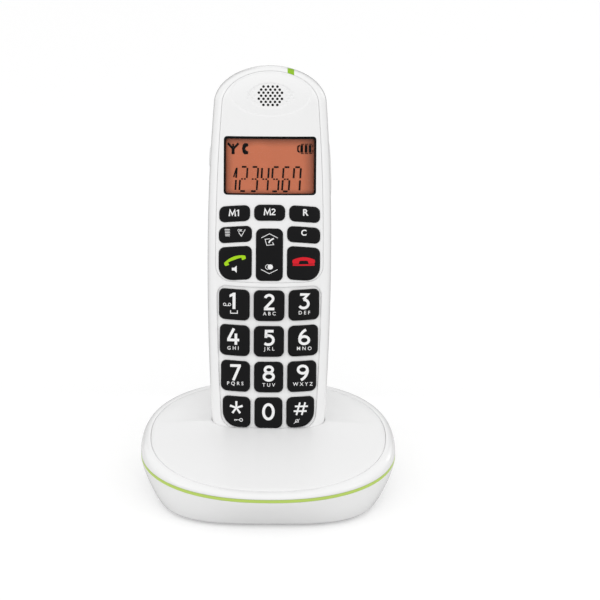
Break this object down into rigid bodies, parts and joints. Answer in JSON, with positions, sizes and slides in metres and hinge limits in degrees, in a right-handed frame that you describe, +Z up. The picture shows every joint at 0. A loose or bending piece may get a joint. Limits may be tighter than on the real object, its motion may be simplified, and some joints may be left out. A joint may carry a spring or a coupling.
{
  "type": "cordless phone with charging base",
  "caption": "Big-button cordless telephone handset with a backlit display, leaning back in an oval desktop charging base.",
  "frame": {"origin": "centre of the whole object's box in X and Y, on the table under the feet", "axes": "+Z up, +X to the reader's right, and the keys face -Y"},
  "size_m": [0.1054, 0.1122, 0.164],
  "materials": {
    "white_plastic": "glossy injection-moulded white",
    "black_plastic": "satin black keys with printed white legends",
    "green_trim": "translucent light green",
    "green_indicator": "translucent green light pipe",
    "clear_window": "clear window with a printed black border",
    "display_amber": "amber backlit display",
    "circuit_board": "solder-masked glass-fibre board",
    "silicone": "moulded silicone",
    "dark_plastic": "moulded black",
    "spring_steel": "nickel-plated",
    "gold_contact": "gold-plated brass",
    "cell_wrap": "steel can in a printed wrapper",
    "foot_rubber": "soft grey rubber"
  },
  "bodies": {
    "base": {"base_lower_shell": "white_plastic", "base_trim_ring": "green_trim", "base_upper_shell": "white_plastic", "base_deck": "white_plastic", "base_circuit_board": "circuit_board", "line_socket": "dark_plastic", "power_socket": "dark_plastic", "base_screw_left": "spring_steel", "base_screw_right": "spring_steel", "foot_front_left": "foot_rubber", "foot_front_right": "foot_rubber", "foot_rear_left": "foot_rubber", "foot_rear_right": "foot_rubber"},
    "handset": {"handset_front_shell": "white_plastic", "handset_fascia": "white_plastic", "handset_rear_shell": "white_plastic", "display_lens": "clear_window", "lcd_glass": "display_amber", "lcd_backlight": "display_amber", "handset_circuit_board": "circuit_board", "keypad_mat": "silicone", "indicator_light_pipe": "green_indicator", "earpiece_receiver": "dark_plastic", "loudspeaker": "dark_plastic", "microphone": "dark_plastic", "battery_cell_left": "cell_wrap", "battery_cell_right": "cell_wrap", "battery_spring_left": "spring_steel", "battery_spring_right": "spring_steel", "battery_link_plate": "spring_steel", "handset_screw_left": "spring_steel", "handset_screw_right": "spring_steel", "charging_pad_left": "gold_contact", "charging_pad_right": "gold_contact"},
    "key_m1": {"key_m1": "black_plastic"},
    "key_m2": {"key_m2": "black_plastic"},
    "key_recall": {"key_recall": "black_plastic"},
    "key_menu": {"key_menu": "black_plastic"},
    "key_clear": {"key_clear": "black_plastic"},
    "key_talk": {"key_talk": "black_plastic"},
    "key_navigation": {"key_navigation": "black_plastic"},
    "key_end": {"key_end": "black_plastic"},
    "key_1": {"key_1": "black_plastic"},
    "key_2": {"key_2": "black_plastic"},
    "key_3": {"key_3": "black_plastic"},
    "key_4": {"key_4": "black_plastic"},
    "key_5": {"key_5": "black_plastic"},
    "key_6": {"key_6": "black_plastic"},
    "key_7": {"key_7": "black_plastic"},
    "key_8": {"key_8": "black_plastic"},
    "key_9": {"key_9": "black_plastic"},
    "key_star": {"key_star": "black_plastic"},
    "key_0": {"key_0": "black_plastic"},
    "key_hash": {"key_hash": "black_plastic"},
    "charging_pin_left": {"charging_pin_left": "gold_contact"},
    "charging_pin_right": {"charging_pin_right": "gold_contact"},
    "page_button": {"page_button": "white_plastic"},
    "volume_rocker": {"volume_rocker": "white_plastic"},
    "boost_button": {"boost_button": "white_plastic"},
    "battery_cover": {"battery_cover": "white_plastic"}
  },
  "joints": [
    {"name": "handset_lift", "type": "slide", "parent": "base", "child": "handset", "axis": [0, 0.309, 0.9511], "range_m": [0, 0.09]},
    {"name": "key_m1_press", "type": "slide", "parent": "handset", "child": "key_m1", "axis": [0, 0.9511, -0.309], "range_m": [0, 0.0009], "stiffness_N_per_m": 300},
    {"name": "key_m2_press", "type": "slide", "parent": "handset", "child": "key_m2", "axis": [0, 0.9511, -0.309], "range_m": [0, 0.0009], "stiffness_N_per_m": 300},
    {"name": "key_recall_press", "type": "slide", "parent": "handset", "child": "key_recall", "axis": [0, 0.9511, -0.309], "range_m": [0, 0.0009], "stiffness_N_per_m": 300},
    {"name": "key_menu_press", "type": "slide", "parent": "handset", "child": "key_menu", "axis": [0, 0.9511, -0.309], "range_m": [0, 0.0009], "stiffness_N_per_m": 300},
    {"name": "key_clear_press", "type": "slide", "parent": "handset", "child": "key_clear", "axis": [0, 0.9511, -0.309], "range_m": [0, 0.0009], "stiffness_N_per_m": 300},
    {"name": "key_talk_press", "type": "slide", "parent": "handset", "child": "key_talk", "axis": [0, 0.9511, -0.309], "range_m": [0, 0.0009], "stiffness_N_per_m": 300},
    {"name": "key_navigation_rock", "type": "hinge", "parent": "handset", "child": "key_navigation", "pos_m": [0, 0.0185, 0.09074], "axis": [1, 0, 0], "range_deg": [-3, 3], "stiffness_Nm_per_rad": 0.05},
    {"name": "key_end_press", "type": "slide", "parent": "handset", "child": "key_end", "axis": [0, 0.9511, -0.309], "range_m": [0, 0.0009], "stiffness_N_per_m": 300},
    {"name": "key_1_press", "type": "slide", "parent": "handset", "child": "key_1", "axis": [0, 0.9511, -0.309], "range_m": [0, 0.0009], "stiffness_N_per_m": 300},
    {"name": "key_2_press", "type": "slide", "parent": "handset", "child": "key_2", "axis": [0, 0.9511, -0.309], "range_m": [0, 0.0009], "stiffness_N_per_m": 300},
    {"name": "key_3_press", "type": "slide", "parent": "handset", "child": "key_3", "axis": [0, 0.9511, -0.309], "range_m": [0, 0.0009], "stiffness_N_per_m": 300},
    {"name": "key_4_press", "type": "slide", "parent": "handset", "child": "key_4", "axis": [0, 0.9511, -0.309], "range_m": [0, 0.0009], "stiffness_N_per_m": 300},
    {"name": "key_5_press", "type": "slide", "parent": "handset", "child": "key_5", "axis": [0, 0.9511, -0.309], "range_m": [0, 0.0009], "stiffness_N_per_m": 300},
    {"name": "key_6_press", "type": "slide", "parent": "handset", "child": "key_6", "axis": [0, 0.9511, -0.309], "range_m": [0, 0.0009], "stiffness_N_per_m": 300},
    {"name": "key_7_press", "type": "slide", "parent": "handset", "child": "key_7", "axis": [0, 0.9511, -0.309], "range_m": [0, 0.0009], "stiffness_N_per_m": 300},
    {"name": "key_8_press", "type": "slide", "parent": "handset", "child": "key_8", "axis": [0, 0.9511, -0.309], "range_m": [0, 0.0009], "stiffness_N_per_m": 300},
    {"name": "key_9_press", "type": "slide", "parent": "handset", "child": "key_9", "axis": [0, 0.9511, -0.309], "range_m": [0, 0.0009], "stiffness_N_per_m": 300},
    {"name": "key_star_press", "type": "slide", "parent": "handset", "child": "key_star", "axis": [0, 0.9511, -0.309], "range_m": [0, 0.0009], "stiffness_N_per_m": 300},
    {"name": "key_0_press", "type": "slide", "parent": "handset", "child": "key_0", "axis": [0, 0.9511, -0.309], "range_m": [0, 0.0009], "stiffness_N_per_m": 300},
    {"name": "key_hash_press", "type": "slide", "parent": "handset", "child": "key_hash", "axis": [0, 0.9511, -0.309], "range_m": [0, 0.0009], "stiffness_N_per_m": 300},
    {"name": "volume_rocker_rock", "type": "hinge", "parent": "handset", "child": "volume_rocker", "pos_m": [0.02227, 0.03628, 0.1215], "axis": [0, -0.9511, 0.309], "range_deg": [-2, 2], "stiffness_Nm_per_rad": 0.05},
    {"name": "boost_button_press", "type": "slide", "parent": "handset", "child": "boost_button", "axis": [1, 0, 0], "range_m": [0, 0.0006], "stiffness_N_per_m": 300},
    {"name": "battery_cover_off", "type": "slide", "parent": "handset", "child": "battery_cover", "axis": [0, 0.9511, -0.309], "range_m": [0, 0.012]},
    {"name": "charging_pin_left_press", "type": "slide", "parent": "base", "child": "charging_pin_left", "axis": [0, -0.309, -0.9511], "range_m": [0, 0.0006], "stiffness_N_per_m": 150},
    {"name": "charging_pin_right_press", "type": "slide", "parent": "base", "child": "charging_pin_right", "axis": [0, -0.309, -0.9511], "range_m": [0, 0.0006], "stiffness_N_per_m": 150},
    {"name": "page_button_press", "type": "slide", "parent": "base", "child": "page_button", "axis": [0, -1, 0], "range_m": [0, 0.0006], "stiffness_N_per_m": 300}
  ]
}
